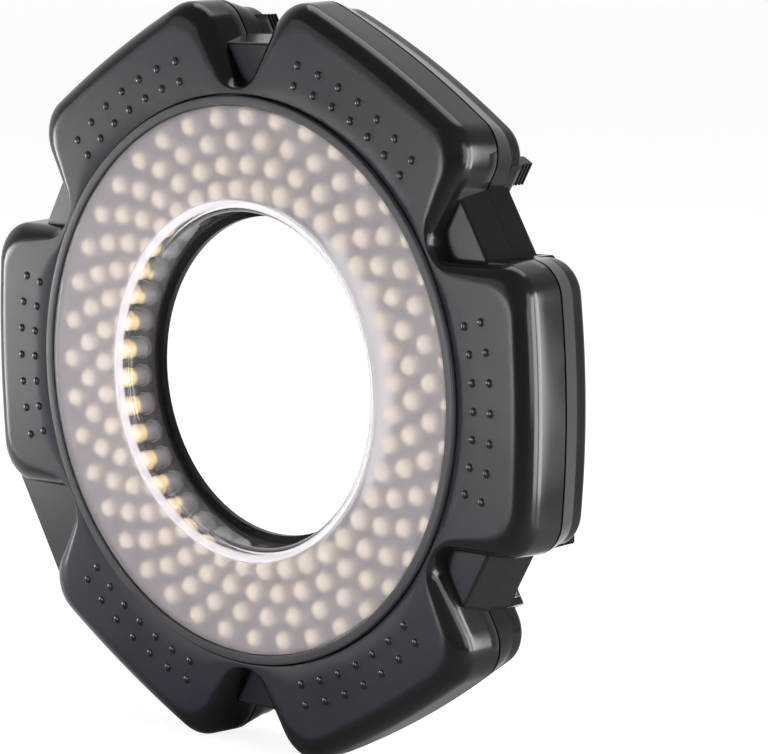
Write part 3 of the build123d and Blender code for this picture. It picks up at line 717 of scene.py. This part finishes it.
class RINGLIGHT_OT_diffuser(bpy.types.Operator):
    """Builds the diffuser: plate, rounding and tube in one turned section, frosted on the plate"""

    bl_idname = "ringlight.diffuser"
    bl_label = "Diffuser"

    def execute(self, context):
        s = context.scene.ringlight_diffuser
        front = FACE_Y - s.proud
        rear = front + s.plate
        lip, under_face = FACE_Y + 11.2 * MM, FACE_Y + 0.1 * MM
        rim, easing, hub = 62.9 * MM, 0.2 * MM, 62.0 * MM
        inner_round = s.rounding - s.plate
        centre = (s.tube + s.rounding, front + s.rounding)
        outside = arc(centre, s.rounding, 180, 270, 14)
        inside = arc((centre[0], rear + inner_round), inner_round + 0.3 * MM, 270, 180, 10)
        inside[:, 0] = np.maximum(inside[:, 0], s.tube + s.wall)
        profile = np.vstack(
            [
                np.column_stack([np.full(12, s.tube), np.linspace(lip, centre[1], 12, endpoint=False)]),
                outside,
                np.column_stack([np.linspace(centre[0], rim - easing, 20)[1:], np.full(19, front)]),
                [[rim, front + easing], [rim, under_face], [s.outer, under_face]],
                [[s.outer, SEAT_Y], [hub, SEAT_Y], [hub, rear]],
                np.column_stack([np.linspace(hub - 0.1 * MM, centre[0], 20), np.full(20, rear)]),
                inside[1:],
                np.column_stack([np.full(12, s.tube + s.wall), np.linspace(centre[1], lip, 13)[1:]]),
            ]
        )
        verts = turned_profile(profile, RING_STEPS)
        faces = grid_faces(len(profile), RING_STEPS)
        obj = new_object("diffuser_moulding", verts, faces, frosted_acrylic(s), 50)
        # Frost grows from 0 at the tube's wall to 1 on the plate. The painted highlight, a white band, lies on the
        # rounding's outer part, and fades over a short way at its outer and its rear edge.
        clear, growth = 1.6 * MM, 1.4 * MM
        highlight_width, highlight_depth, fade = 3.3 * MM, 1.25 * MM, 0.4 * MM
        radius, height = profile.T
        frost = np.clip((radius - s.tube - clear) / growth, 0, 1)
        paint(obj, "frost", np.repeat(frost, RING_STEPS))
        inside_edge = np.clip((s.tube + highlight_width - radius) / fade, 0, 1)
        painted_highlight = inside_edge * np.clip((front + highlight_depth - height) / fade, 0, 1)
        paint(obj, "painted_highlight", np.repeat(painted_highlight, RING_STEPS))
        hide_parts("diffuser")
        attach(obj, "housing")
        return {"FINISHED"}


class RINGLIGHT_OT_lamps(bpy.types.Operator):
    """Builds the lamps: a foot, a straight body and a quarter-circle dome, turned, in four circles"""

    bl_idname = "ringlight.lamps"
    bl_label = "Lamps"

    def execute(self, context):
        s = context.scene.ringlight_lamps
        circles = (44.0 * MM, 49.45 * MM, 54.9 * MM, 60.35 * MM)
        step_height, shoulder = 1.0 * MM, 3.6 * MM
        foot = [[s.flange, 0], [s.flange, step_height], [s.radius, step_height + 0.05 * MM], [s.radius, shoulder]]
        profile = np.vstack([foot, arc((0, s.height - s.radius), s.radius, 0, 90, 6)[:-1]])
        # Every other circle, from the inmost, is turned by half a step
        places, level = [], np.full(s.per_row, LAMP_BASE_Y)
        for number, radius in enumerate(circles):
            angle = 2 * np.pi * (np.arange(s.per_row) + 0.5 * ((number + 1) % 2)) / s.per_row
            places.append(np.column_stack([radius * np.cos(angle), level, radius * np.sin(angle)]))
        verts, faces = domes(profile, s.height, 12, np.concatenate(places))
        obj = new_object("lamp_set", verts, faces, lamp_resin(s), 50)
        paint(obj, "height", (LAMP_BASE_Y - verts[:, 1]) / s.height)
        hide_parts("leds")
        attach(obj, "housing")
        return {"FINISHED"}


class RINGLIGHT_OT_finishes(bpy.types.Operator):
    """Gives the rear shell, doors, boards, cells, contacts, controls and fasteners their finishes"""

    bl_idname = "ringlight.finishes"
    bl_label = "Finishes"

    def execute(self, context):
        s = context.scene.ringlight_shell
        wall = tuple(s.wall_colour)
        rear_plastic = plain_plastic("rear plastic", wall, 0.17, 0.00001, gloss=0.16)
        obj = merged_copy("rear_shell", "rear_shell_moulding", rear_plastic)
        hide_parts("rear_shell")
        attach(obj, "housing")
        door_plastic = plain_plastic("door plastic", wall, 0.17, 0.00001, gloss=0.22)
        for k in range(1, LOBES + 1):
            obj = merged_copy(f"battery_door_{k}", f"door_moulding_{k}", door_plastic)
            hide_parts(f"battery_door_{k}")
            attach(obj, f"door_{k}")
        finishes = {
            plain_plastic("board mask black", (0.012, 0.012, 0.014), 0.35): ["led_board"],
            plain_plastic("board mask green", (0.02, 0.1, 0.045), 0.35): ["driver_board"],
            plain_plastic("component black", (0.02, 0.02, 0.02), 0.4): [
                "driver_chips",
                "driver_capacitors",
                "driver_coil",
                "board_header",
                "dimmer_potentiometer",
                "switch_body",
            ],
            plain_plastic("knob plastic", (0.02, 0.02, 0.021), 0.35, 0.00004): ["dimmer_knob", "switch_slider"],
            metal("nickel plate", (0.72, 0.7, 0.66), 0.25): ["plate_contacts", "leaf_contacts"],
            metal("turned steel", (0.55, 0.55, 0.55), 0.3): ["door_hinge_pins", "driver_screws", "dimmer_shaft"],
            metal("blackened steel", (0.06, 0.06, 0.06), 0.35): ["case_screws"],
            plain_plastic("cell sleeve", (0.1, 0.105, 0.12), 0.3): ["aa_cells"],
        }
        for material, nodes in finishes.items():
            for node in nodes:
                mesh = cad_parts[node].data
                mesh.materials.clear()
                mesh.materials.append(material)
        return {"FINISHED"}


def area_lamp(name, place, aim, width, height, watts):
    """A soft box at a place, turned to its aim."""
    light = bpy.data.lights.new(name, "AREA")
    light.shape = "RECTANGLE"
    light.size, light.size_y = width, height
    light.energy = watts
    obj = bpy.data.objects.new(name, light)
    obj.location = place
    obj.rotation_euler = (Vector(aim) - Vector(place)).to_track_quat("-Z", "Y").to_euler()
    obj.visible_camera = False
    bpy.context.scene.collection.objects.link(obj)


def place_camera(scene, s):
    """Camera at azimuth a and elevation e: back = (sin a cos e, -cos a cos e, sin e), rolled, slid and lifted."""
    az, el, roll = s.azimuth, s.elevation, s.roll
    back = Vector((math.sin(az) * math.cos(el), -math.cos(az) * math.cos(el), math.sin(el)))
    level = Vector((math.cos(az), math.sin(az), 0))
    upright = back.cross(level)
    right = level * math.cos(roll) + upright * math.sin(roll)
    up = upright * math.cos(roll) - level * math.sin(roll)
    camera = bpy.data.cameras.new("camera")
    camera.sensor_width = 36
    camera.lens = s.lens
    camera.clip_start, camera.clip_end = 0.01, 100
    view = bpy.data.objects.new("camera", camera)
    place = Vector((0, FACE_Y, 0)) + back * s.distance + right * s.slide + up * s.lift
    view.matrix_world = Matrix.Translation(place) @ Matrix((right, up, back)).transposed().to_4x4()
    scene.collection.objects.link(view)
    scene.camera = view


def studio_world():
    """A world of plain ambient light, white where the backdrop is seen."""
    world = bpy.data.worlds.new("studio")
    world.use_nodes = True
    nodes = Nodes(world.node_tree)
    ambient = world.node_tree.nodes["Background"]
    nodes.fill(ambient.inputs["Color"], (1, 1, 1))
    nodes.fill(ambient.inputs["Strength"], AMBIENT)
    paper = nodes.add("ShaderNodeBackground", {"Color": (1, 1, 1)})
    way = nodes.add("ShaderNodeTexCoord").outputs["Generated"]
    light = nodes.blend(studio_white(nodes, way), ambient.outputs[0], paper.outputs[0])
    nodes.fill(world.node_tree.nodes["World Output"].inputs["Surface"], light)
    return world


class RINGLIGHT_OT_stage(bpy.types.Operator):
    """Builds the camera, the floor and the studio light"""

    bl_idname = "ringlight.stage"
    bl_label = "Stage"

    def execute(self, context):
        place_camera(context.scene, context.scene.ringlight_stage)
        ground = cad_box[0][2] - FLOOR_GAP
        corners = np.array([[-1, -1, 0], [1, -1, 0], [1, 1, 0], [-1, 1, 0]]) * FLOOR_REACH + [0, 0, ground]
        floor = new_object("floor", corners, [[0, 1, 2, 3]], floor_paper())
        middle = (0, 0, 0)
        right_lobe, left_lobe = (0.08, -0.01, 0), (-0.075, -0.02, 0)
        area_lamp("rim box", (0.262, 0.1, 0.02), (0.086, -0.006, 0), 0.1, 0.2, 0.95)
        area_lamp("side box", (0.29, -0.01, 0.02), right_lobe, 0.09, 0.2, 0.7)
        area_lamp("front side box", (0.3, -0.11, 0.06), right_lobe, 0.09, 0.2, 0.25)
        area_lamp("right strip", (-0.097, -0.32, -0.02), (0.07, -0.02, 0), 0.07, 0.12, 0.5)
        area_lamp("left strip", (-0.378, -0.175, -0.02), left_lobe, 0.08, 0.12, 0.8)
        area_lamp("top box", (-0.1, 0.3, 1.0), middle, 0.9, 0.6, 6)
        area_lamp("front box", (-0.7, -1.0, 0.3), middle, 0.9, 0.7, 2)
        context.scene.world = studio_world()
        context.scene.view_settings.view_transform = "Standard"
        return {"FINISHED"}


OPERATORS = (
    RINGLIGHT_OT_front_shell,
    RINGLIGHT_OT_wide_web,
    RINGLIGHT_OT_pips,
    RINGLIGHT_OT_bezel,
    RINGLIGHT_OT_diffuser,
    RINGLIGHT_OT_lamps,
    RINGLIGHT_OT_finishes,
    RINGLIGHT_OT_stage,
)


class RINGLIGHT_PT_panel(bpy.types.Panel):
    """Lists the ring light's operators"""

    bl_idname = "RINGLIGHT_PT_panel"
    bl_label = "Ring Light"
    bl_space_type = "VIEW_3D"
    bl_region_type = "UI"
    bl_category = "Ring Light"

    def draw(self, context):
        for operator in OPERATORS:
            self.layout.operator(operator.bl_idname)


GROUPS = {
    "ringlight_shell": ShellSettings,
    "ringlight_diffuser": DiffuserSettings,
    "ringlight_lamps": LampSettings,
    "ringlight_stage": StageSettings,
}


def register():
    for group in GROUPS.values():
        bpy.utils.register_class(group)
    for name, group in GROUPS.items():
        setattr(bpy.types.Scene, name, PointerProperty(type=group))
    for operator in OPERATORS:
        bpy.utils.register_class(operator)
    bpy.utils.register_class(RINGLIGHT_PT_panel)


def unregister():
    bpy.utils.unregister_class(RINGLIGHT_PT_panel)
    for operator in reversed(OPERATORS):
        bpy.utils.unregister_class(operator)
    for name, group in GROUPS.items():
        delattr(bpy.types.Scene, name)
        bpy.utils.unregister_class(group)


def main():
    """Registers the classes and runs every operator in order."""
    register()
    for operator in OPERATORS:
        area, name = operator.bl_idname.split(".")
        getattr(getattr(bpy.ops, area), name)()


if __name__ == "__main__":
    main()
